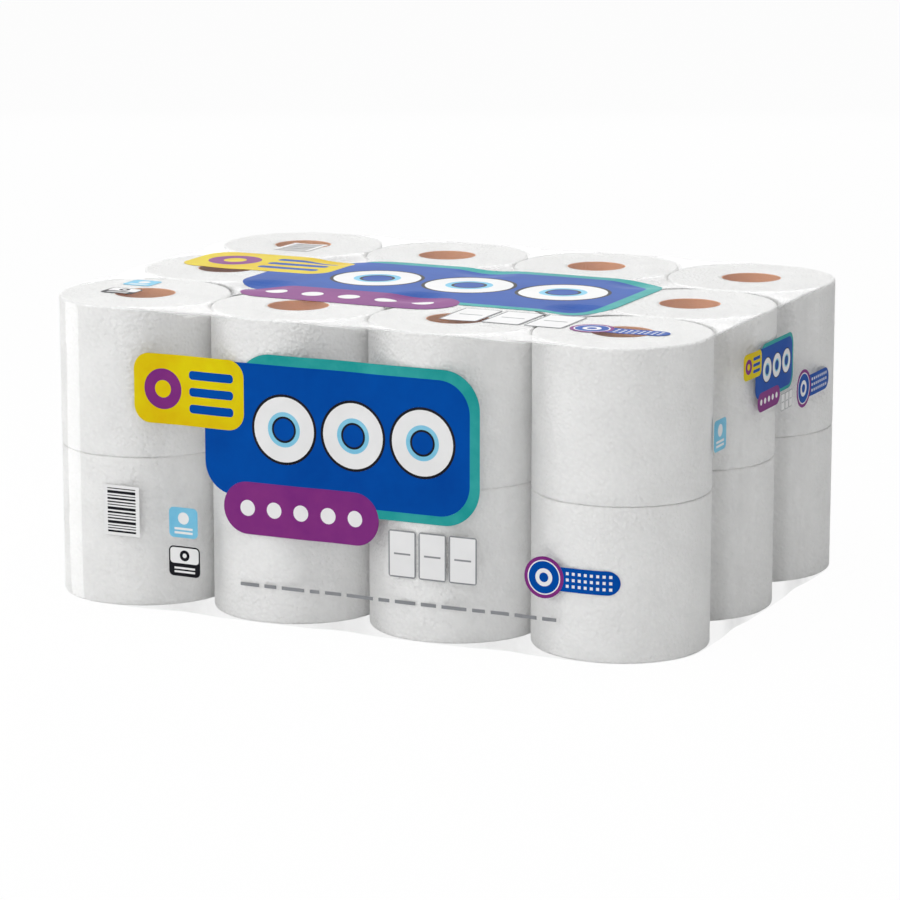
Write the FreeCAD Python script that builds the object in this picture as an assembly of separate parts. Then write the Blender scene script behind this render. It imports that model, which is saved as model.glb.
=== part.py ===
import FreeCAD, Part
import math
import os

from FreeCAD import Vector

# A pack of toilet paper: rolls standing on end in two layers, held in one tight wrap of clear film
# with a printed design. Millimetres, +Z up, the front faces -Y, and the origin is the middle of the
# pack's underside.

# The rolls and how they stand
ROLL_DIAMETER = 118.6
ROLL_HEIGHT = 104.0
ROLL_GAP = 0.2
COLUMNS = 4
ROWS = ("front", "middle", "back")
LAYERS = ("lower", "upper")

# One roll: paper wound on a cardboard core
PAPER_EDGE_BEVEL = 1.2
TURN_LINES = 4
TURN_LINE_DEPTH = 0.3
TURN_LINE_WIDTH = 0.9
CORE_DIAMETER = 42.0
CORE_WALL = 0.5
CORE_FIT = 0.05
CORE_INSET = 0.3

# The film: drawn thicker than the real 0.05 mm, so that it is a sound solid
FILM_THICKNESS = 0.25
FILM_SLACK = 0.2

# The print: drawn thicker than real ink, one layer on the outside of the film
INK_THICKNESS = 0.12

roll_radius = ROLL_DIAMETER / 2
core_radius = CORE_DIAMETER / 2
bore_radius = core_radius + CORE_FIT
pitch = ROLL_DIAMETER + ROLL_GAP
half_length = pitch * (COLUMNS - 1) / 2
half_depth = pitch * (len(ROWS) - 1) / 2
stack_height = ROLL_HEIGHT * len(LAYERS)
wrap_radius = roll_radius + FILM_SLACK
pack_height = stack_height + 2 * FILM_THICKNESS
stamp_depth = wrap_radius / 4  # the print on a wall goes no further than this round the corners


def rectangle(left, bottom, right, top):
    """A flat rectangle on the plane z = 0."""
    corners = [Vector(x, y, 0) for x, y in ((left, bottom), (right, bottom), (right, top), (left, top))]
    return Part.Face(Part.makePolygon(corners + corners[:1]))


def disc(x, y, radius):
    """A flat round face."""
    circle = Part.Circle(Vector(x, y, 0), Vector(0, 0, 1), radius)
    return Part.Face(Part.Wire(circle.toShape()))


def ring(x, y, outer, inner):
    """A flat round face with a round hole in its middle."""
    return disc(x, y, outer).cut(disc(x, y, inner))


def rounded_rectangle(left, bottom, right, top, radius):
    """A flat rectangle with its four corners rounded."""
    corners = (
        (right - radius, bottom + radius, -90),
        (right - radius, top - radius, 0),
        (left + radius, top - radius, 90),
        (left + radius, bottom + radius, 180),
    )
    edges = []
    ends = []
    for x, y, start in corners:
        a, b, c = (
            Vector(x + radius * math.cos(angle), y + radius * math.sin(angle), 0)
            for angle in (math.radians(start + turn) for turn in (0, 45, 90))
        )
        edges.append(Part.Arc(a, b, c).toShape())
        ends.append((a, c))
    for index in range(4):
        start = ends[index][1]
        end = ends[(index + 1) % 4][0]
        if start.distanceToPoint(end) > 1e-6:
            edges.append(Part.makeLine(start, end))
    return Part.Face(Part.Wire(Part.__sortEdges__(edges)))


# Rolls and cores


def roll():
    """One roll of paper with its middle at x = y = 0, standing on z = 0.

    The wound turns show as ring lines on its two ends, and the cut paper is crushed to a small bevel
    along its outer edges.
    """
    spacing = (roll_radius - PAPER_EDGE_BEVEL - bore_radius) / (TURN_LINES + 1)
    half_line = TURN_LINE_WIDTH / 2
    lower_half = [Vector(bore_radius, 0, 0)]
    for line in range(1, TURN_LINES + 1):
        middle = bore_radius + line * spacing
        lower_half += [
            Vector(middle - half_line, 0, 0),
            Vector(middle, 0, TURN_LINE_DEPTH),
            Vector(middle + half_line, 0, 0),
        ]
    lower_half += [Vector(roll_radius - PAPER_EDGE_BEVEL, 0, 0), Vector(roll_radius, 0, PAPER_EDGE_BEVEL)]
    upper_half = [Vector(point.x, 0, ROLL_HEIGHT - point.z) for point in reversed(lower_half)]
    section = Part.Face(Part.makePolygon(lower_half + upper_half + lower_half[:1]))
    return section.revolve(Vector(0, 0, 0), Vector(0, 0, 1), 360)


def core():
    """One cardboard tube, its ends just inside the ends of its roll."""
    height = ROLL_HEIGHT - 2 * CORE_INSET
    foot = Vector(0, 0, CORE_INSET)
    tube = Part.makeCylinder(core_radius, height, foot)
    return tube.cut(Part.makeCylinder(core_radius - CORE_WALL, height, foot))


# Film


def wrapped_block(offset):
    """The whole pack as one closed block, this far outside the film's inner face.

    The film is drawn straight from roll to roll and turns on the outer rolls at the four corners.
    Along the rims it turns on the paper's bevelled edge.
    """
    radius = wrap_radius + offset
    right = half_length + radius
    back = half_depth + radius
    block = rounded_rectangle(-right, -back, right, back, radius)
    block = block.extrude(Vector(0, 0, stack_height + 2 * offset))
    block.translate(Vector(0, 0, FILM_THICKNESS - offset))
    rims = [edge for edge in block.Edges if edge.BoundBox.ZLength < 1e-6]
    return block.makeFillet(PAPER_EDGE_BEVEL + FILM_SLACK + offset, rims)


def film():
    """The wrap: a closed skin round the whole block of rolls."""
    return wrapped_block(FILM_THICKNESS).cut(wrapped_block(0))


# Print


def panel_design():
    """The large design, as ink and area pairs, each printed over the ones before it.

    Its corners are (0, 0) and (257, 144). Three rings stand for rolls seen from above, and three
    small squares for sheets.
    """
    design = [
        ("teal", rounded_rectangle(78, 40, 257, 144, 26)),
        ("blue", rounded_rectangle(54, 46, 250, 137, 22)),
        ("purple", rounded_rectangle(68, 20, 184, 56, 18)),
    ]
    for x in (114, 165, 216):
        design.append(("black", disc(x, 94, 24)))
        design.append(("white", disc(x, 94, 22.2)))
        design.append(("light_blue", disc(x, 94, 12)))
        design.append(("black", disc(x, 94, 9)))
        design.append(("blue", disc(x, 94, 7.5)))
    for x in (86, 106, 126, 146, 166):
        design.append(("white", disc(x, 38, 5.5)))
    for x in (201, 223, 245):
        design.append(("grey", rounded_rectangle(x - 10, 2, x + 10, 34, 2)))
        design.append(("white", rectangle(x - 9, 3, x + 9, 33)))
        design.append(("grey", rectangle(x - 6, 17.4, x + 6, 18.6)))
    design.append(("yellow", rounded_rectangle(0, 90, 84, 138, 12)))
    design.append(("purple", disc(22, 114, 14)))
    design.append(("yellow", disc(22, 114, 6)))
    for y in (122, 110.5, 99):
        design.append(("blue", rounded_rectangle(42, y, 76, y + 6, 2.5)))
    return design


def count_badge():
    """A round badge with a pill beside it, in a 66 by 28 space. The pill has a square for each roll."""
    design = [("blue", rounded_rectangle(14, 6, 66, 22, 8))]
    for i in range(8):
        for j in range(3):
            left = 29.6 + 4.2 * i
            bottom = 8.8 + 4.2 * j
            design.append(("white", rectangle(left, bottom, left + 2, bottom + 2)))
    design += [
        ("purple", disc(14, 14, 14)),
        ("white", disc(14, 14, 11.6)),
        ("blue", disc(14, 14, 10.8)),
        ("white", ring(14, 14, 6, 3.2)),
    ]
    return design


def water_mark():
    """A small square in a 22 by 21 space: a white disc over two white bars."""
    return [
        ("light_blue", rounded_rectangle(0, 0, 22, 21, 3.5)),
        ("white", disc(11, 13.5, 4.2)),
        ("white", rectangle(4, 5.4, 18, 7)),
        ("white", rectangle(4, 2.6, 18, 4.2)),
    ]


def paper_mark():
    """A small square in a 24 by 21 space, black below and white above."""
    return [
        ("black", rounded_rectangle(0, 0, 24, 21, 3.5)),
        ("white", rounded_rectangle(1, 9, 23, 20, 2.5)),
        ("black", ring(12, 14.5, 3.8, 1.6)),
        ("white", rectangle(4, 5, 20, 6.4)),
        ("white", rectangle(4, 2.4, 20, 3.8)),
    ]


def bar_strip():
    """A white strip in a 28 by 35 space, crossed by plain bars of a few widths."""
    design = [("white", rectangle(0, 0, 28, 35))]
    widths = (1.4, 0.7, 0.7, 2.0, 1.0, 0.7, 1.4, 2.0, 0.7, 1.0, 1.4, 0.7, 2.0, 0.7)
    gap = (35 - 4 - sum(widths)) / (len(widths) - 1)
    bottom = 2.0
    for width in widths:
        design.append(("black", rectangle(3, bottom, 25, bottom + width)))
        bottom += width + gap
    return design


def foot_line():
    """A line of short dashes in a 232 by 3 space."""
    lengths = (14, 9, 17, 7, 12, 20, 8, 15, 11, 18, 9, 13, 16, 10)
    gap = (232 - sum(lengths)) / (len(lengths) - 1)
    design = []
    left = 0.0
    for length in lengths:
        design.append(("grey", rectangle(left, 0, left + length, 2.4)))
        left += length + gap
    return design


def visible_inks(design):
    """Each ink's area that shows, once what is printed later has covered what lies under it."""
    shown = []
    covered = None
    for ink, area in reversed(design):
        shown.append((ink, area if covered is None else area.cut(covered)))
        covered = area if covered is None else covered.fuse(area)
    return shown


# Where each design is printed: the side of the pack, its lower left corner there, and its scale.
# The corner is measured from the middle of the side, and upwards from the pack's foot on a wall.
PRINTED = (
    (panel_design, "front", -154.0, 41.0, 1.0),
    (foot_line, "front", -74.0, 25.0, 1.0),
    (bar_strip, "front", -179.5, 50.0, 1.0),
    (water_mark, "front", -129.0, 53.0, 1.0),
    (paper_mark, "front", -129.5, 26.0, 1.0),
    (count_badge, "front", 135.0, 40.0, 1.0),
    (panel_design, "top", -219.0, -129.0, 1.4),
    (bar_strip, "top", -187.0, 88.0, 1.0),
    (water_mark, "top", -210.5, -96.0, 1.0),
    (paper_mark, "top", -208.5, -130.0, 1.0),
    (count_badge, "top", 141.0, -132.0, 1.05),
    (panel_design, "right", -51.0, 134.0, 0.37),
    (count_badge, "right", 54.0, 129.0, 0.95),
    (water_mark, "right", -106.5, 130.0, 1.0),
)


def placed(area, side, across, up, scale):
    """A flat area moved to its side of the pack and given depth, to cut the layer of ink with."""
    moved = area.scaled(scale, Vector(0, 0, 0))
    moved.translate(Vector(across, up, 0))
    if side == "top":
        moved.translate(Vector(0, 0, pack_height - stamp_depth))
        return moved.extrude(Vector(0, 0, 2 * stamp_depth))
    moved.rotate(Vector(0, 0, 0), Vector(1, 0, 0), 90)
    if side == "front":
        moved.translate(Vector(0, -half_depth - wrap_radius - stamp_depth, 0))
        return moved.extrude(Vector(0, 2 * stamp_depth, 0))
    moved.rotate(Vector(0, 0, 0), Vector(0, 0, 1), 90)
    moved.translate(Vector(half_length + wrap_radius - stamp_depth, 0, 0))
    return moved.extrude(Vector(2 * stamp_depth, 0, 0))


def ink_layers():
    """The print as one solid layer for each ink, lying on the film."""
    coat = wrapped_block(FILM_THICKNESS + INK_THICKNESS).cut(wrapped_block(FILM_THICKNESS))
    stamps = {}
    for design, side, across, up, scale in PRINTED:
        for ink, area in visible_inks(design()):
            if area.Area > 0:
                stamps.setdefault(ink, []).append(placed(area, side, across, up, scale))
    return {ink: coat.common(Part.makeCompound(parts)) for ink, parts in stamps.items()}


# Build


def export(shape, name):
    """Write one piece under its node's name."""
    assert shape.isValid(), name
    solids = shape.Solids
    piece = solids[0] if len(solids) == 1 else Part.makeCompound(solids)
    piece.exportStep("parts/" + name + ".step")


os.makedirs("parts", exist_ok=True)
one_roll = roll()
one_core = core()
for k, layer in enumerate(LAYERS):
    for j, row in enumerate(ROWS):
        for i in range(COLUMNS):
            seat = Vector(pitch * i - half_length, pitch * j - half_depth, FILM_THICKNESS + k * ROLL_HEIGHT)
            place = "_{}_{}_{}".format(layer, row, i + 1)
            export(one_roll.translated(seat), "roll" + place)
            export(one_core.translated(seat), "core" + place)
export(film(), "film_wrap")
for ink, layer in ink_layers().items():
    export(layer, "ink_" + ink)
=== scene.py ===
import math
import random

import bmesh
import bpy
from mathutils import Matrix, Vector, noise


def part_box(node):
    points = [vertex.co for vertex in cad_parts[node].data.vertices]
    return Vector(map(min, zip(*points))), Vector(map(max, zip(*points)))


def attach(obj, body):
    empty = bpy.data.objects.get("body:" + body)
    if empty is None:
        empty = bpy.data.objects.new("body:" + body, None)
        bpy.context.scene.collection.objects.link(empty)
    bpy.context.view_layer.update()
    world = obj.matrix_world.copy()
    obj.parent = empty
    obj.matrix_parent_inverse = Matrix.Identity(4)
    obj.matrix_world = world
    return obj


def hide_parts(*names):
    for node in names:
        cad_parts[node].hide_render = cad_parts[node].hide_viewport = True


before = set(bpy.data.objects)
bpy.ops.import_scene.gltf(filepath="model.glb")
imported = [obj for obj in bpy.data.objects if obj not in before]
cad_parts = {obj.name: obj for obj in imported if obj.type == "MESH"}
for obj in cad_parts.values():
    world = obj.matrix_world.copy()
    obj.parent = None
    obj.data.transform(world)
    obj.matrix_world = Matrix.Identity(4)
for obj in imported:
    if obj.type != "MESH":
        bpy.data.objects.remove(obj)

# The camera
# It stands where the photograph was taken from, in front of the pack and a little to the right, with
# a long lens. The places are metres from the middle of the pack's underside.
CAMERA_AZIMUTH = math.radians(25.05)
CAMERA_ELEVATION = math.radians(12.09)
CAMERA_DISTANCE = 2.5479
CAMERA_TARGET = Vector((0.0267, -0.0605, 0.1044))
CAMERA_LENS_MM = 148.28
CAMERA_SENSOR_MM = 36

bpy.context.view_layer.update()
view_back = Vector((
    math.sin(CAMERA_AZIMUTH) * math.cos(CAMERA_ELEVATION),
    -math.cos(CAMERA_AZIMUTH) * math.cos(CAMERA_ELEVATION),
    math.sin(CAMERA_ELEVATION),
))
camera = bpy.data.objects.new("camera", bpy.data.cameras.new("camera"))
camera.data.sensor_width = CAMERA_SENSOR_MM
camera.data.lens = CAMERA_LENS_MM
camera.location = CAMERA_TARGET + view_back * CAMERA_DISTANCE
camera.rotation_mode = "QUATERNION"
camera.rotation_quaternion = (-view_back).to_track_quat("-Z", "Y")
bpy.context.scene.collection.objects.link(camera)
bpy.context.scene.camera = camera
bpy.context.scene.view_settings.view_transform = "Standard"

# The rolls of tissue paper
# Each is one long strip of thin white embossed paper, wound tight on its core and sawn to length
# from a log, so its ends show the turns as fine rings and its sides the embossing. The pack squeezes
# the rolls a little flat where they touch.
MM = 0.001
ROLL_STEPS = 120
SIDE_ROWS = 7
END_RINGS = 9
RING_DEPTH = 0.22 * MM
RING_SHARE = 0.72  # the part of a ring's width in which its end face rises
RIM_RADIUS = 1.9 * MM
RIM_STEPS = 4
SQUEEZE = 0.3 * MM
SQUEEZE_WIDTH = 9 * MM
UNEVEN = 0.22 * MM
UNEVEN_PER_METRE = 22
PAPER_WHITE = "FAFAF9"
PAPER_SHADE = "F0F0EF"
EMBOSS_PITCH = 2.4 * MM
EMBOSS_HEIGHT = 0.85 * MM
CREPE_PITCH = 5.3 * MM
TURN_PITCH = 0.9 * MM  # the real turns are a tenth of a millimetre thick, too fine to show
TURN_HEIGHT = 0.12 * MM
TURN_WANDER = 17 * MM
CLOUD_SIZE = 26 * MM
ROLL_SEED = 24
NOISE_SPAN = 50


def linear(hex_colour):
    """An sRGB hex colour as linear red, green, blue and alpha."""
    values = [int(hex_colour[i:i + 2], 16) / 255 for i in (0, 2, 4)]
    return [v / 12.92 if v <= 0.04045 else ((v + 0.055) / 1.055) ** 2.4 for v in values] + [1.0]


def add_node(tree, kind, settings=None, inputs=None):
    """Adds a node, sets its settings, and gives each named input a value or a link."""
    made = tree.nodes.new(kind)
    for name, value in (settings or {}).items():
        setattr(made, name, value)
    for name, value in (inputs or {}).items():
        if isinstance(value, bpy.types.NodeSocket):
            tree.links.new(value, made.inputs[name])
        else:
            made.inputs[name].default_value = value
    return made


def new_material(name):
    """A material with an empty tree, and that tree."""
    made = bpy.data.materials.new(name)
    made.use_nodes = True
    made.node_tree.nodes.clear()
    return made, made.node_tree


def finish_material(tree, surface):
    """Ends a material's tree in its surface shader."""
    add_node(tree, "ShaderNodeOutputMaterial", inputs={"Surface": surface})


def new_piece(name, mesh_source, material, slot, *nodes, smooth=True):
    """Turns a bmesh into a piece of the pack that stands for these nodes of the frame."""
    mesh = bpy.data.meshes.new(name)
    mesh_source.to_mesh(mesh)
    mesh_source.free()
    for polygon in mesh.polygons:
        polygon.use_smooth = smooth
    mesh.materials.append(material)
    piece = bpy.data.objects.new(name, mesh)
    bpy.context.scene.collection.objects.link(piece)
    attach(piece, "root")
    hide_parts(*nodes)
    return piece


def tissue_paper():
    """Soft creped tissue: matt and white, with a fine pebbled embossing that catches the light."""
    material, tree = new_material("tissue_paper_embossed")
    place = add_node(tree, "ShaderNodeTexCoord")
    pebbles = add_node(tree, "ShaderNodeTexVoronoi", {"feature": "SMOOTH_F1"},
                       {"Vector": place.outputs["Object"], "Scale": 1 / EMBOSS_PITCH, "Smoothness": 0.6})
    creping = add_node(tree, "ShaderNodeTexNoise", None,
                       {"Vector": place.outputs["Object"], "Scale": 1 / CREPE_PITCH, "Detail": 3.0,
                        "Roughness": 0.6})
    relief = add_node(tree, "ShaderNodeMath", {"operation": "MULTIPLY_ADD"},
                      {0: creping.outputs["Fac"], 1: 0.8, 2: pebbles.outputs["Distance"]})
    emboss = add_node(tree, "ShaderNodeBump", None,
                      {"Height": relief.outputs[0], "Distance": EMBOSS_HEIGHT, "Strength": 0.9})

    # The turns: rings about the roll's axis, which its UV map measures from, on the ends alone
    flat = add_node(tree, "ShaderNodeUVMap", {"uv_map": "from_axis"})
    radius = add_node(tree, "ShaderNodeVectorMath", {"operation": "LENGTH"}, {0: flat.outputs["UV"]})
    wander = add_node(tree, "ShaderNodeTexNoise", None,
                      {"Vector": place.outputs["Object"], "Scale": 1 / TURN_WANDER, "Detail": 1.0})
    turn = add_node(tree, "ShaderNodeMath", {"operation": "MULTIPLY_ADD"},
                    {0: wander.outputs["Fac"], 1: 3 * TURN_PITCH, 2: radius.outputs["Value"]})
    phase = add_node(tree, "ShaderNodeMath", {"operation": "MULTIPLY"},
                     {0: turn.outputs[0], 1: math.tau / TURN_PITCH})
    wave = add_node(tree, "ShaderNodeMath", {"operation": "SINE"}, {0: phase.outputs[0]})
    facing = add_node(tree, "ShaderNodeSeparateXYZ", None, {0: place.outputs["Normal"]})
    upright = add_node(tree, "ShaderNodeMath", {"operation": "ABSOLUTE"}, {0: facing.outputs["Z"]})
    on_end = add_node(tree, "ShaderNodeMapRange", None,
                      {"Value": upright.outputs[0], "From Min": 0.7, "From Max": 0.95})
    rings = add_node(tree, "ShaderNodeMath", {"operation": "MULTIPLY"},
                     {0: wave.outputs[0], 1: on_end.outputs[0]})
    relief_all = add_node(tree, "ShaderNodeBump", None,
                          {"Height": rings.outputs[0], "Distance": TURN_HEIGHT, "Strength": 0.6,
                           "Normal": emboss.outputs["Normal"]})

    cloud = add_node(tree, "ShaderNodeTexNoise", None,
                     {"Vector": place.outputs["Object"], "Scale": 1 / CLOUD_SIZE, "Detail": 3.0})
    in_valleys = add_node(tree, "ShaderNodeMath", {"operation": "MULTIPLY_ADD"},
                          {0: pebbles.outputs["Distance"], 1: -0.5, 2: cloud.outputs["Fac"]})
    tone = add_node(tree, "ShaderNodeMapRange", None,
                    {"Value": in_valleys.outputs[0], "From Min": -0.1, "From Max": 0.5})
    colour = add_node(tree, "ShaderNodeMix", {"data_type": "RGBA"},
                      {"Factor": tone.outputs[0], 6: linear(PAPER_SHADE), 7: linear(PAPER_WHITE)})
    shader = add_node(tree, "ShaderNodeBsdfPrincipled", None,
                      {"Base Color": colour.outputs[2], "Roughness": 0.95, "Specular IOR Level": 0.15,
                       "Sheen Weight": 0.12, "Sheen Roughness": 0.6,
                       "Normal": relief_all.outputs["Normal"]})
    finish_material(tree, shader.outputs[0])
    return material


def roll_section(low, high, bore, outer):
    """Half of a roll cut through its axis, as a closed chain of points (radius, 0, height)."""
    ring_space = (outer - RIM_RADIUS - bore) / END_RINGS
    lower = []
    for ring in range(END_RINGS):
        lower.append(Vector((bore + ring * ring_space, 0, low)))
        lower.append(Vector((bore + (ring + RING_SHARE) * ring_space, 0, low + RING_DEPTH)))
    for step in range(RIM_STEPS + 1):
        turn = math.pi / 2 * step / RIM_STEPS
        lower.append(Vector((outer - RIM_RADIUS * (1 - math.sin(turn)), 0,
                             low + RIM_RADIUS * (1 - math.cos(turn)))))
    side = [
        Vector((outer, 0, low + (high - low) * row / (SIDE_ROWS + 1)))
        for row in range(1, SIDE_ROWS + 1)
    ]
    upper = [Vector((point.x, 0, low + high - point.z)) for point in reversed(lower)]
    return lower + side + upper


def paper_roll(place, chance):
    """One roll, spun from its section, then squeezed by its neighbours and made a little uneven."""
    low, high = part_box("roll_" + place)
    axis = Vector(((low.x + high.x) / 2, (low.y + high.y) / 2, 0))
    outer = (high.x - low.x) / 2
    core_low, core_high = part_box("core_" + place)
    bore = (core_high.x - core_low.x) / 2
    mesh = bmesh.new()
    points = [mesh.verts.new(axis + point) for point in roll_section(low.z, high.z, bore, outer)]
    chain = [mesh.edges.new((points[i - 1], points[i])) for i in range(len(points))]
    bmesh.ops.spin(mesh, geom=points + chain, cent=axis, axis=(0, 0, 1), angle=math.tau,
                   steps=ROLL_STEPS, use_merge=True)
    bmesh.ops.recalc_face_normals(mesh, faces=mesh.faces)
    seed = Vector((chance.uniform(0, NOISE_SPAN), chance.uniform(0, NOISE_SPAN), 0))
    for vertex in mesh.verts:
        arm = vertex.co - axis
        arm.z = 0
        share = ((arm.length - bore) / (outer - bore)) ** 2
        squeezed = 0
        for direction in (Vector((1, 0, 0)), Vector((-1, 0, 0)), Vector((0, 1, 0)), Vector((0, -1, 0))):
            off_line = (arm.normalized() - direction).length * outer
            squeezed += SQUEEZE * math.exp(-(off_line / SQUEEZE_WIDTH) ** 2)
        wobble = (noise.noise(seed + vertex.co * UNEVEN_PER_METRE) + 1) / 2
        vertex.co -= arm.normalized() * share * (squeezed + UNEVEN * wobble)
    flat = mesh.loops.layers.uv.new("from_axis")
    for face in mesh.faces:
        for corner in face.loops:
            corner[flat].uv = (corner.vert.co - axis).to_2d()
    return mesh


paper = tissue_paper()
chance = random.Random(ROLL_SEED)
places = [name[len("roll_"):] for name in sorted(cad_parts) if name.startswith("roll_")]
for place in places:
    new_piece("paper_roll_" + place, paper_roll(place, chance), paper, "tissue_paper", "roll_" + place)

# The cores
# Each is a thin tube of plain brown board, made of two strips wound in a spiral and glued, and cut
# with its roll. The strip's edge shows inside as a slanting line.
CORE_STEPS = 96
CORE_WALL = 0.5 * MM
CORE_BROWN = "F4B78B"
CORE_DARK = "E2A37C"
STRIP_WIDTH = 62 * MM
FIBRE = 1.1 * MM
FIBRE_HEIGHT = 0.1 * MM
SHARP_EDGE = math.radians(40)


def core_board():
    """Unbleached board: matt, warm brown, with faint fibres and the dark line of the strip's edge."""
    material, tree = new_material("core_board_spiral_wound")
    place = add_node(tree, "ShaderNodeTexCoord")
    wound = add_node(tree, "ShaderNodeUVMap", {"uv_map": "round_and_up"})
    parts = add_node(tree, "ShaderNodeSeparateXYZ", None, {0: wound.outputs["UV"]})
    rise = add_node(tree, "ShaderNodeMath", {"operation": "MULTIPLY_ADD"},
                    {0: parts.outputs["Y"], 1: 1 / STRIP_WIDTH, 2: parts.outputs["X"]})
    turn = add_node(tree, "ShaderNodeMath", {"operation": "FRACT"}, {0: rise.outputs[0]})
    seam = add_node(tree, "ShaderNodeMapRange", None,
                    {"Value": turn.outputs[0], "From Min": 0.0, "From Max": 0.02})
    fibres = add_node(tree, "ShaderNodeTexNoise", None,
                      {"Vector": place.outputs["Object"], "Scale": 1 / FIBRE, "Detail": 4.0,
                       "Roughness": 0.7})
    shade = add_node(tree, "ShaderNodeMapRange", None,
                     {"Value": fibres.outputs["Fac"], "From Min": 0.3, "From Max": 0.6})
    lit = add_node(tree, "ShaderNodeMath", {"operation": "MULTIPLY"},
                   {0: shade.outputs[0], 1: seam.outputs[0]})
    colour = add_node(tree, "ShaderNodeMix", {"data_type": "RGBA"},
                      {"Factor": lit.outputs[0], 6: linear(CORE_DARK), 7: linear(CORE_BROWN)})
    relief = add_node(tree, "ShaderNodeBump", None,
                      {"Height": lit.outputs[0], "Distance": FIBRE_HEIGHT, "Strength": 0.5})
    shader = add_node(tree, "ShaderNodeBsdfPrincipled", None,
                      {"Base Color": colour.outputs[2], "Roughness": 0.88, "Specular IOR Level": 0.2,
                       "Normal": relief.outputs["Normal"]})
    finish_material(tree, shader.outputs[0])
    return material


def core_tube(place):
    """One tube, spun from the section of its wall."""
    low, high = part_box("core_" + place)
    axis = Vector(((low.x + high.x) / 2, (low.y + high.y) / 2, 0))
    outer = (high.x - low.x) / 2
    inner = outer - CORE_WALL
    mesh = bmesh.new()
    corners = ((outer, low.z), (outer, high.z), (inner, high.z), (inner, low.z))
    points = [mesh.verts.new(axis + Vector((radius, 0, height))) for radius, height in corners]
    chain = [mesh.edges.new((points[i - 1], points[i])) for i in range(len(points))]
    bmesh.ops.spin(mesh, geom=points + chain, cent=axis, axis=(0, 0, 1), angle=math.tau,
                   steps=CORE_STEPS, use_merge=True)
    bmesh.ops.recalc_face_normals(mesh, faces=mesh.faces)
    wound = mesh.loops.layers.uv.new("round_and_up")
    for face in mesh.faces:
        middle = face.calc_center_median() - axis
        around = math.atan2(middle.y, middle.x) / math.tau
        for corner in face.loops:
            arm = corner.vert.co - axis
            here = math.atan2(arm.y, arm.x) / math.tau
            here += round(around - here)
            corner[wound].uv = (here, corner.vert.co.z)
    for edge in mesh.edges:
        edge.smooth = edge.calc_face_angle(0) < SHARP_EDGE
    return mesh


board = core_board()
for place in places:
    new_piece("core_tube_" + place, core_tube(place), board, "core_board", "core_" + place)

# The film
# One sheet of clear polyethylene, shrunk tight round the block of rolls and welded underneath. It is
# straight from roll to roll, dips over the gaps and cores, and cuts the corner where two outer rolls
# part. Heat has left it slightly rippled.
FILM_THICKNESS = 0.05 * MM
CORNER_STEPS = 24
RIM_BEND = 1.6 * MM
BEND_STEPS = 3
FILM_GRID = 6 * MM
GAP_DIP = 2.2 * MM
GAP_REACH = 27 * MM
CORE_DIP = 0.5 * MM
WALL_SAG = 1.1 * MM
WALL_REACH = 30 * MM
RIM_SCOOP = 1.2 * MM
SCOOP_REACH = 24 * MM
SCOOP_FADE = 15 * MM
RIM_ZONE = 1.2 * RIM_BEND  # a point this near a face's plane moves with that face
FOOT_DIP = 0.5  # the dips underneath and the scoop at the foot, as shares of those at the top
FOOT_SCOOP = 0.15
RIPPLE = 0.11 * MM
RIPPLE_LENGTH = 26 * MM
RIPPLE_STRETCH = 0.45  # the ripples are longer upright than along the pack
RIPPLE_SHIFT = 0.6  # added to the noise, of which what is then below 0 or above the most is cut off
RIPPLE_MOST = 1.4
FINE_RIPPLE = 0.3
FINE_RIPPLE_SCALE = 2.3
FILM_COVER = 0.035
FILM_GREY = "AAAAAA"
# Painted light: the film's pale veil over the gaps between the rolls is partly its own haze where
# nothing backs it and partly there to lighten the shade in those gaps
HAZE_AND_PAINTED_LIGHT_WHITE = "ECECEC"
WALL_HAZE_AND_PAINTED_LIGHT = 0.2  # each haze starts and is full this far outside a roll's own radius
WALL_HAZE_START = 4 * MM
WALL_HAZE_FULL = 21 * MM
TOP_HAZE_AND_PAINTED_LIGHT = 0.4
TOP_HAZE_START = -1 * MM
TOP_HAZE_FULL = 5 * MM
STREAK_LENGTH = 25 * MM
FINE_WAVE = 12 * MM
FINE_WAVE_HEIGHT = 0.35 * MM
CUT_WITHIN = 0.0001 * MM
LEVEL_WITHIN = 0.001 * MM
RIM_TURN = 1.0  # radians: the two faces at a rim turn by more
MERGE_WITHIN = 0.02 * MM

film_low, film_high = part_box("film_wrap")
roll_boxes = [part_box("roll_" + place) for place in places]
roll_axes = [((low + high) / 2).to_2d() for low, high in roll_boxes]
layer_axes = roll_axes[:len(roll_axes) // 2]  # one layer's, and the other layer stands on the same
columns = sorted({round(axis.x, 5) for axis in roll_axes})
rows = sorted({round(axis.y, 5) for axis in roll_axes})
roll_radius = (roll_boxes[0][1].x - roll_boxes[0][0].x) / 2
core_low, core_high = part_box("core_" + places[0])
core_radius = (core_high.x - core_low.x) / 2
film_corner = film_high.x - columns[-1]
column_gaps = [(a + b) / 2 for a, b in zip(columns, columns[1:])]
row_gaps = [(a + b) / 2 for a, b in zip(rows, rows[1:])]


def bump(distance, reach):
    """A smooth hill, 1 at no distance and 0 from reach on."""
    if abs(distance) >= reach:
        return 0.0
    return (1 - (distance / reach) ** 2) ** 2


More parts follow.
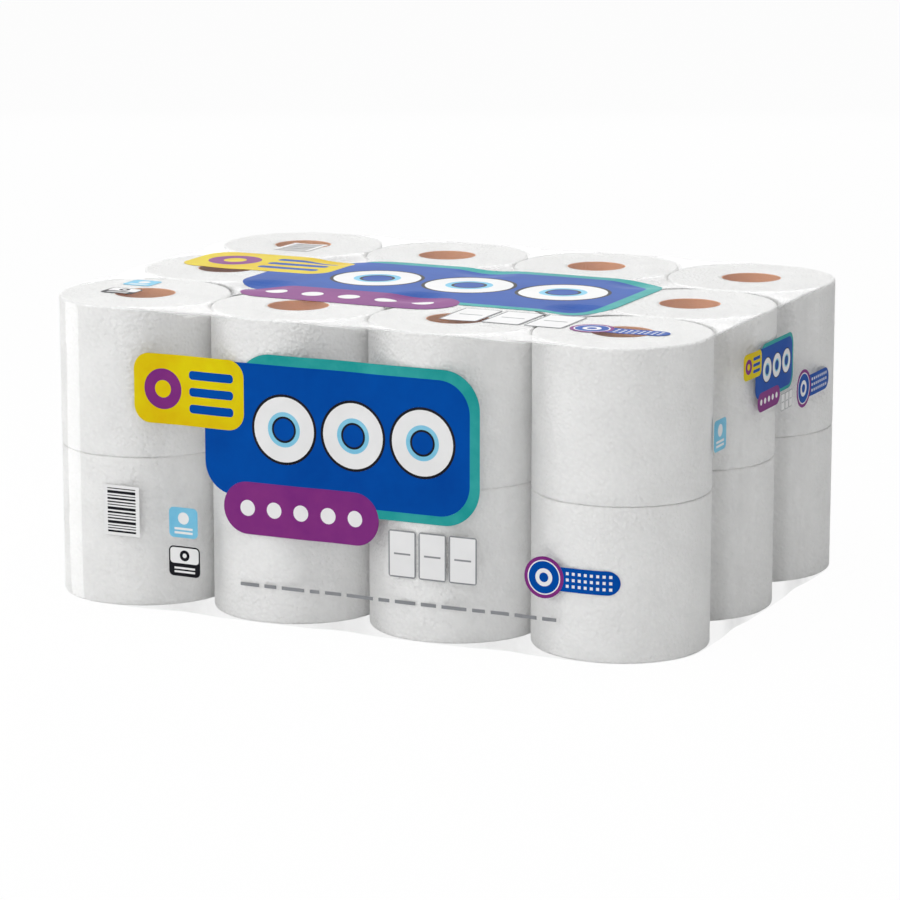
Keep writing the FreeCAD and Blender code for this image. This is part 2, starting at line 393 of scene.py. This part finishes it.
def film_pull(point):
    """How far the film moves inwards from its taut outline, at a point on that outline."""
    x, y, z = point
    pull = Vector((0, 0, 0))
    to_front = y - film_low.y
    to_back = film_high.y - y
    to_left = x - film_low.x
    to_right = film_high.x - x
    to_foot = z - film_low.z
    to_top = film_high.z - z
    across_gap = max(bump(x - gap, SCOOP_REACH) for gap in column_gaps)
    along_gap = max(bump(y - gap, SCOOP_REACH) for gap in row_gaps)
    # Dips over the gaps and cores, on the top and, less deep, underneath
    for height, sign, depth in ((to_top, -1, 1.0), (to_foot, 1, FOOT_DIP)):
        if height > RIM_ZONE:
            continue
        dip = 0.0
        for gap_x in column_gaps:
            for gap_y in row_gaps:
                dip += GAP_DIP * bump(math.hypot(x - gap_x, y - gap_y), GAP_REACH)
        for axis in layer_axes:
            dip += CORE_DIP * bump(math.hypot(x - axis.x, y - axis.y), core_radius)
        dip += RIM_SCOOP * across_gap * math.exp(-min(to_front, to_back) / SCOOP_FADE)
        dip += RIM_SCOOP * along_gap * math.exp(-min(to_left, to_right) / SCOOP_FADE)
        pull.z += sign * dip * depth
    # Sags between the rolls on the four walls, deeper towards the rims
    to_rim = min(to_top, to_foot)
    scoop = RIM_SCOOP * math.exp(-to_rim / SCOOP_FADE) * (1.0 if to_top < to_foot else FOOT_SCOOP)
    for distance, direction, gaps, along in (
        (to_front, Vector((0, 1, 0)), column_gaps, x),
        (to_back, Vector((0, -1, 0)), column_gaps, x),
        (to_left, Vector((1, 0, 0)), row_gaps, y),
        (to_right, Vector((-1, 0, 0)), row_gaps, y),
    ):
        if distance > RIM_ZONE:
            continue
        for gap in gaps:
            sag = WALL_SAG * bump(along - gap, WALL_REACH) + scoop * bump(along - gap, SCOOP_REACH)
            pull += direction * sag
    return pull


def film_ripple(point, normal):
    """The fine unevenness that shrinking leaves, always inwards."""
    stretched = Vector((point.x, point.y, point.z * RIPPLE_STRETCH)) / RIPPLE_LENGTH
    height = noise.noise(stretched) + FINE_RIPPLE * noise.noise(stretched * FINE_RIPPLE_SCALE)
    return -normal * RIPPLE * min(max(height + RIPPLE_SHIFT, 0), RIPPLE_MOST)


def cut_in_grid(mesh):
    """Cuts the whole mesh along planes one grid step apart, so that it can bend."""
    for axis, (start, end) in enumerate(zip(film_low, film_high)):
        normal = Vector((0, 0, 0))
        normal[axis] = 1
        count = math.ceil((end - start) / FILM_GRID)
        for step in range(1, count):
            point = normal * (start + (end - start) * step / count)
            bmesh.ops.bisect_plane(mesh, geom=mesh.verts[:] + mesh.edges[:] + mesh.faces[:],
                                   plane_co=point, plane_no=normal, dist=CUT_WITHIN)


def clear_film():
    """Thin clear polyethylene: glossy, seen by what it mirrors. Where no paper backs it, it has shrunk
    more and gone a little milky. That pale veil is also painted light: it lies over the shaded gaps
    between the rolls to lighten them, most on the top, less on the walls and not at all underneath."""
    material, tree = new_material("polyethylene_film_clear")
    place = add_node(tree, "ShaderNodeTexCoord")
    parts = add_node(tree, "ShaderNodeSeparateXYZ", None, {0: place.outputs["Object"]})
    off_axis = []
    for axis, lines in (("X", columns), ("Y", rows)):
        from_line = add_node(tree, "ShaderNodeMath", {"operation": "SUBTRACT"},
                             {0: parts.outputs[axis], 1: lines[0]})
        off_axis.append(add_node(tree, "ShaderNodeMath", {"operation": "PINGPONG"},
                                 {0: from_line.outputs[0], 1: (lines[1] - lines[0]) / 2}))
    flat = add_node(tree, "ShaderNodeCombineXYZ", None,
                    {"X": off_axis[0].outputs[0], "Y": off_axis[1].outputs[0]})
    radius = add_node(tree, "ShaderNodeVectorMath", {"operation": "LENGTH"}, {0: flat.outputs[0]})
    on_walls = add_node(tree, "ShaderNodeMapRange", {"interpolation_type": "SMOOTHSTEP"},
                        {"Value": radius.outputs["Value"], "From Min": roll_radius + WALL_HAZE_START,
                         "From Max": roll_radius + WALL_HAZE_FULL, "To Max": WALL_HAZE_AND_PAINTED_LIGHT})
    on_top = add_node(tree, "ShaderNodeMapRange", {"interpolation_type": "SMOOTHSTEP"},
                      {"Value": radius.outputs["Value"], "From Min": roll_radius + TOP_HAZE_START,
                       "From Max": roll_radius + TOP_HAZE_FULL, "To Max": TOP_HAZE_AND_PAINTED_LIGHT})
    above = add_node(tree, "ShaderNodeMath", {"operation": "GREATER_THAN"},
                     {0: parts.outputs["Z"], 1: (film_low.z + film_high.z) / 2})
    on_flats = add_node(tree, "ShaderNodeMath", {"operation": "MULTIPLY"},
                        {0: on_top.outputs[0], 1: above.outputs[0]})
    facing = add_node(tree, "ShaderNodeSeparateXYZ", None, {0: place.outputs["Normal"]})
    level = add_node(tree, "ShaderNodeMath", {"operation": "ABSOLUTE"}, {0: facing.outputs["Z"]})
    flat_share = add_node(tree, "ShaderNodeMapRange", None,
                          {"Value": level.outputs[0], "From Min": 0.3, "From Max": 0.8})
    # Painted light: the veil is strongest over the gaps on the top, weaker on the walls and left off
    # underneath, so that it lightens the shaded gaps
    unbacked_and_painted_light = add_node(tree, "ShaderNodeMix", None,
                        {"Factor": flat_share.outputs[0], 2: on_walls.outputs[0],
                         3: on_flats.outputs[0]})
    streaks = add_node(tree, "ShaderNodeTexNoise", None,
                       {"Vector": place.outputs["Object"], "Scale": 1 / STREAK_LENGTH, "Detail": 3.0,
                        "Distortion": 0.6})
    uneven = add_node(tree, "ShaderNodeMapRange", None,
                      {"Value": streaks.outputs["Fac"], "From Min": 0.3, "From Max": 0.7,
                       "To Min": 0.8, "To Max": 1.1})
    haze_and_painted_light = add_node(tree, "ShaderNodeMath", {"operation": "MULTIPLY"},
                    {0: unbacked_and_painted_light.outputs[0], 1: uneven.outputs[0]})
    cover = add_node(tree, "ShaderNodeMath", {"operation": "ADD"}, {0: haze_and_painted_light.outputs[0], 1: FILM_COVER})
    milky = add_node(tree, "ShaderNodeMath", {"operation": "DIVIDE"},
                     {0: haze_and_painted_light.outputs[0], 1: cover.outputs[0]})
    colour = add_node(tree, "ShaderNodeMix", {"data_type": "RGBA"},
                      {"Factor": milky.outputs[0], 6: linear(FILM_GREY), 7: linear(HAZE_AND_PAINTED_LIGHT_WHITE)})
    mirror = add_node(tree, "ShaderNodeMapRange", None,
                      {"Value": milky.outputs[0], "To Min": 0.9, "To Max": 0.0})
    ripple = add_node(tree, "ShaderNodeTexNoise", None,
                      {"Vector": place.outputs["Object"], "Scale": 1 / FINE_WAVE, "Detail": 2.0,
                       "Roughness": 0.45})
    relief = add_node(tree, "ShaderNodeBump", None,
                      {"Height": ripple.outputs["Fac"], "Distance": FINE_WAVE_HEIGHT, "Strength": 0.3})
    shader = add_node(tree, "ShaderNodeBsdfPrincipled", None,
                      {"Base Color": colour.outputs[2], "Metallic": mirror.outputs[0], "Roughness": 0.08,
                       "Alpha": cover.outputs[0], "Normal": relief.outputs["Normal"]})
    finish_material(tree, shader.outputs[0])
    return material


def film_block():
    """The taut outline: a block with its upright edges and its rims rounded."""
    mesh = bmesh.new()
    bmesh.ops.create_cube(mesh, size=1.0)
    size = film_high - film_low
    bmesh.ops.scale(mesh, vec=size, verts=mesh.verts)
    bmesh.ops.translate(mesh, vec=(film_low + film_high) / 2, verts=mesh.verts)
    upright = [e for e in mesh.edges if abs((e.verts[0].co - e.verts[1].co).z) > size.z / 2]
    bmesh.ops.bevel(mesh, geom=upright, offset=film_corner, segments=CORNER_STEPS, affect="EDGES",
                    profile=0.5, material=-1)
    rims = [e for e in mesh.edges if abs((e.verts[0].co - e.verts[1].co).z) < LEVEL_WITHIN
            and e.calc_face_angle(0) > RIM_TURN]
    bmesh.ops.bevel(mesh, geom=rims, offset=RIM_BEND, segments=BEND_STEPS, affect="EDGES",
                    profile=0.5, material=-1)
    return mesh


wrap = film_block()
cut_in_grid(wrap)
bmesh.ops.remove_doubles(wrap, verts=wrap.verts, dist=MERGE_WITHIN)
wrap.normal_update()
normals = [vertex.normal.copy() for vertex in wrap.verts]
for vertex, normal in zip(wrap.verts, normals):
    vertex.co += film_pull(vertex.co) + film_ripple(vertex.co, normal)
bmesh.ops.recalc_face_normals(wrap, faces=wrap.faces)
film_piece = new_piece("clear_film_wrap", wrap, clear_film(), "clear_film", "film_wrap")
wall = film_piece.modifiers.new("wall", "SOLIDIFY")
wall.thickness = FILM_THICKNESS
wall.offset = -1

# The print
# Printing inks laid on the film, one pass for each colour: a large blue panel with rings for rolls,
# a yellow tag, small marks and a line of dashes. Each colour is a thin coat that follows the film's
# sags and ripples.
INKS = {
    "blue": ("00449A", "004EA8"),
    "teal": ("17918F", "3CA9A6"),
    "purple": ("76297A", "86357F"),
    "yellow": ("D9B50C", "DFD010"),
    "white": ("E6E6E6", "EEEEEE"),
    "black": ("17171B", "232328"),
    "light_blue": ("6FB9DA", "8FD0E8"),
    "grey": ("85878A", "96989B"),
}
MOTTLE_SIZE = 40 * MM
SAME_POINT = 0.001 * MM
SAME_PLANE = math.radians(0.5)
ON_TOP_WITHIN = 0.01 * MM


def printing_ink(name, deep, pale):
    """Opaque ink laid on film: even, with the faint mottle of a flexible printing plate."""
    material, tree = new_material(name + "_printing_ink")
    place = add_node(tree, "ShaderNodeTexCoord")
    mottle = add_node(tree, "ShaderNodeTexNoise", None,
                      {"Vector": place.outputs["Object"], "Scale": 1 / MOTTLE_SIZE, "Detail": 5.0,
                       "Roughness": 0.65})
    tone = add_node(tree, "ShaderNodeMapRange", None,
                    {"Value": mottle.outputs["Fac"], "From Min": 0.3, "From Max": 0.7})
    colour = add_node(tree, "ShaderNodeMix", {"data_type": "RGBA"},
                      {"Factor": tone.outputs[0], 6: linear(deep), 7: linear(pale)})
    shader = add_node(tree, "ShaderNodeBsdfPrincipled", None,
                      {"Base Color": colour.outputs[2], "Roughness": 0.42, "Specular IOR Level": 0.03})
    finish_material(tree, shader.outputs[0])
    return material


def ink_coat(node):
    """The coat of one ink: the solid's own outline, cut fine and bent to follow the film."""
    mesh = bmesh.new()
    mesh.from_mesh(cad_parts[node].data)
    bmesh.ops.remove_doubles(mesh, verts=mesh.verts, dist=SAME_POINT)
    bmesh.ops.dissolve_limit(mesh, angle_limit=SAME_PLANE, verts=mesh.verts, edges=mesh.edges)
    cut_in_grid(mesh)
    for vertex in mesh.verts:
        point = vertex.co
        if point.z > film_high.z - ON_TOP_WITHIN:
            outwards = Vector((0, 0, 1))
        else:
            nearest = Vector((
                min(max(point.x, columns[0]), columns[-1]),
                min(max(point.y, rows[0]), rows[-1]),
                point.z,
            ))
            outwards = (point - nearest).normalized()
        vertex.co = point + film_pull(point) + film_ripple(point, outwards)
    bmesh.ops.triangulate(mesh, faces=mesh.faces)
    return mesh


for name, (deep, pale) in INKS.items():
    new_piece(name + "_print", ink_coat("ink_" + name), printing_ink(name, deep, pale),
              name + "_ink", "ink_" + name, smooth=False)

# The stage
# A plain white floor and surround, which the camera and the film's gloss see as white, and large
# soft lamps: a key from the front left, one overhead and weak ones from the front, right and back.
# The strip at the left is low, where the film's front left corner mirrors it as an upright highlight.
FLOOR_SIZE = 40.0
FLOOR_DROP = 0.2 * MM  # it lies this far under the pack, so that the two don't share a plane
FLOOR_WHITE = "F4F4F4"
FLOOR_GLOW = 0.97
SURROUND_LIGHT = 0.2
# Each lamp: azimuth and elevation in degrees, distance, width and height in metres, watts
LAMPS = {
    "key": (-48, 25, 2.6, 1.4, 1.6, 15),
    "side_strip": (-84, -10, 2.4, 1.15, 1.5, 35),
    "front_fill": (10, 20, 2.6, 1.6, 1.6, 10),
    "right_fill": (56, 18, 2.6, 1.2, 1.2, 2.5),
    "back_fill": (205, 20, 2.6, 1.6, 1.6, 9),
    "overhead": (20, 84, 2.0, 1.9, 1.9, 30),
}


def seen_directly(tree):
    """1 for what the camera or a mirror sees, 0 for light that falls on things."""
    path = add_node(tree, "ShaderNodeLightPath")
    either = add_node(tree, "ShaderNodeMath", {"operation": "MAXIMUM"},
                      {0: path.outputs["Is Camera Ray"], 1: path.outputs["Is Glossy Ray"]})
    seen = add_node(tree, "ShaderNodeMath", {"operation": "MAXIMUM"},
                    {0: either.outputs[0], 1: path.outputs["Is Transmission Ray"]})
    return seen.outputs[0]


floor_material, tree = new_material("floor_white")
seen = seen_directly(tree)
glow = add_node(tree, "ShaderNodeMath", {"operation": "MULTIPLY"}, {0: seen, 1: FLOOR_GLOW})
matt = add_node(tree, "ShaderNodeBsdfDiffuse", None, {"Color": linear(FLOOR_WHITE)})
bright = add_node(tree, "ShaderNodeEmission", None, {"Color": (1, 1, 1, 1), "Strength": 1.0})
mixed = add_node(tree, "ShaderNodeMixShader", None,
                 {"Fac": glow.outputs[0], 1: matt.outputs[0], 2: bright.outputs[0]})
finish_material(tree, mixed.outputs[0])
ground = bmesh.new()
bmesh.ops.create_grid(ground, x_segments=1, y_segments=1, size=FLOOR_SIZE / 2)
floor_mesh = bpy.data.meshes.new("floor")
ground.to_mesh(floor_mesh)
ground.free()
floor_mesh.materials.append(floor_material)
floor = bpy.data.objects.new("floor", floor_mesh)
floor.location.z = -FLOOR_DROP
floor.visible_glossy = False  # the film mirrors the lamps and the white surround, not the floor
bpy.context.scene.collection.objects.link(floor)

world = bpy.data.worlds.new("surround")
world.use_nodes = True
tree = world.node_tree
tree.nodes.clear()
strength = add_node(tree, "ShaderNodeMapRange", None,
                    {"Value": seen_directly(tree), "To Min": SURROUND_LIGHT, "To Max": 1.0})
backdrop = add_node(tree, "ShaderNodeBackground", None,
                    {"Color": (1, 1, 1, 1), "Strength": strength.outputs[0]})
add_node(tree, "ShaderNodeOutputWorld", inputs={"Surface": backdrop.outputs[0]})
bpy.context.scene.world = world

for name, (azimuth, elevation, distance, width, height, power) in LAMPS.items():
    lamp = bpy.data.lights.new(name, "AREA")
    lamp.shape = "RECTANGLE"
    lamp.size = width
    lamp.size_y = height
    lamp.energy = power
    a, e = math.radians(azimuth), math.radians(elevation)
    towards = Vector((math.sin(a) * math.cos(e), -math.cos(a) * math.cos(e), math.sin(e)))
    holder = bpy.data.objects.new(name, lamp)
    holder.location = towards * distance
    holder.rotation_mode = "QUATERNION"
    holder.rotation_quaternion = (-towards).to_track_quat("-Z", "Y")
    bpy.context.scene.collection.objects.link(holder)
